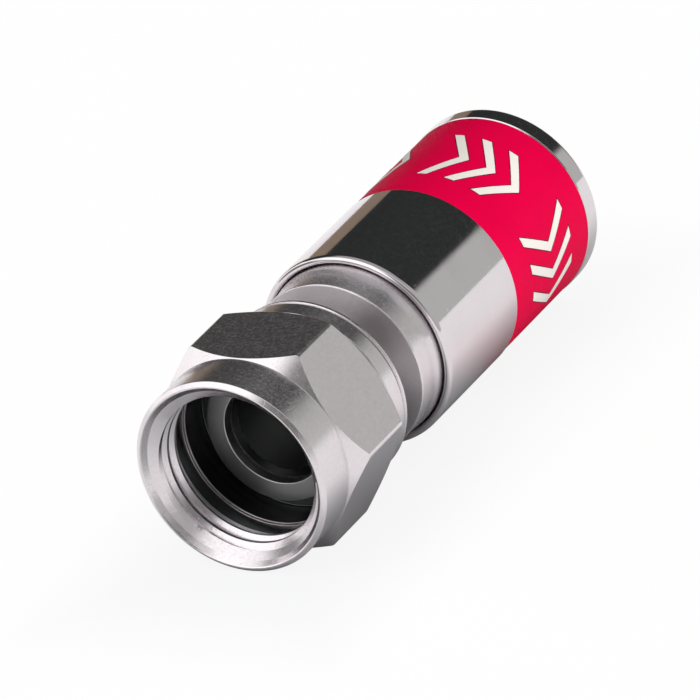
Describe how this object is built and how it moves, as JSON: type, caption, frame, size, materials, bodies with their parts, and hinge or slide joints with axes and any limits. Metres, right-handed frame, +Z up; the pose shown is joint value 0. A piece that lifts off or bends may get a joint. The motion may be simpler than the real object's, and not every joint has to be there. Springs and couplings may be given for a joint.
{
  "type": "compression coaxial plug",
  "caption": "F-type compression plug for coaxial cable: loose hexagonal coupling nut on a flanged post, body with a driven sleeve and a colour band.",
  "frame": {"origin": "centre of the footprint, on the surface that the plug lies on, under the middle of its length", "axes": "+Y along the plug's axis from the nut's mouth towards the cable, +Z up, one flat of the nut facing down"},
  "size_m": [0.0128, 0.0316, 0.0111],
  "materials": {
    "nickel_nut": "nickel plated, turned and lightly polished",
    "nickel_post": "nickel plated, turned",
    "nickel_body": "nickel plated, turned",
    "nickel_sleeve": "nickel plated, mirror polished",
    "band_plastic": "satin raspberry red",
    "grip_plastic": "natural acetal",
    "seal_rubber": "matt black"
  },
  "bodies": {
    "plug_body": {"body": "nickel_body", "post": "nickel_post", "body_seal": "seal_rubber"},
    "nut_carrier": {"nut_seal": "seal_rubber"},
    "nut": {"coupling_nut": "nickel_nut"},
    "sleeve": {"compression_sleeve": "nickel_sleeve", "colour_band": "band_plastic", "grip_ring": "grip_plastic"}
  },
  "joints": [
    {"name": "nut_float", "type": "slide", "parent": "plug_body", "child": "nut_carrier", "axis": [0, 1, 0], "range_m": [0, 0.0022]},
    {"name": "nut_spin", "type": "hinge", "parent": "nut_carrier", "child": "nut", "pos_m": [0, -0.01045, 0.00555], "axis": [0, 1, 0], "continuous": true},
    {"name": "sleeve_stroke", "type": "slide", "parent": "plug_body", "child": "sleeve", "axis": [0, -1, 0], "range_m": [0, 0.00195]}
  ]
}
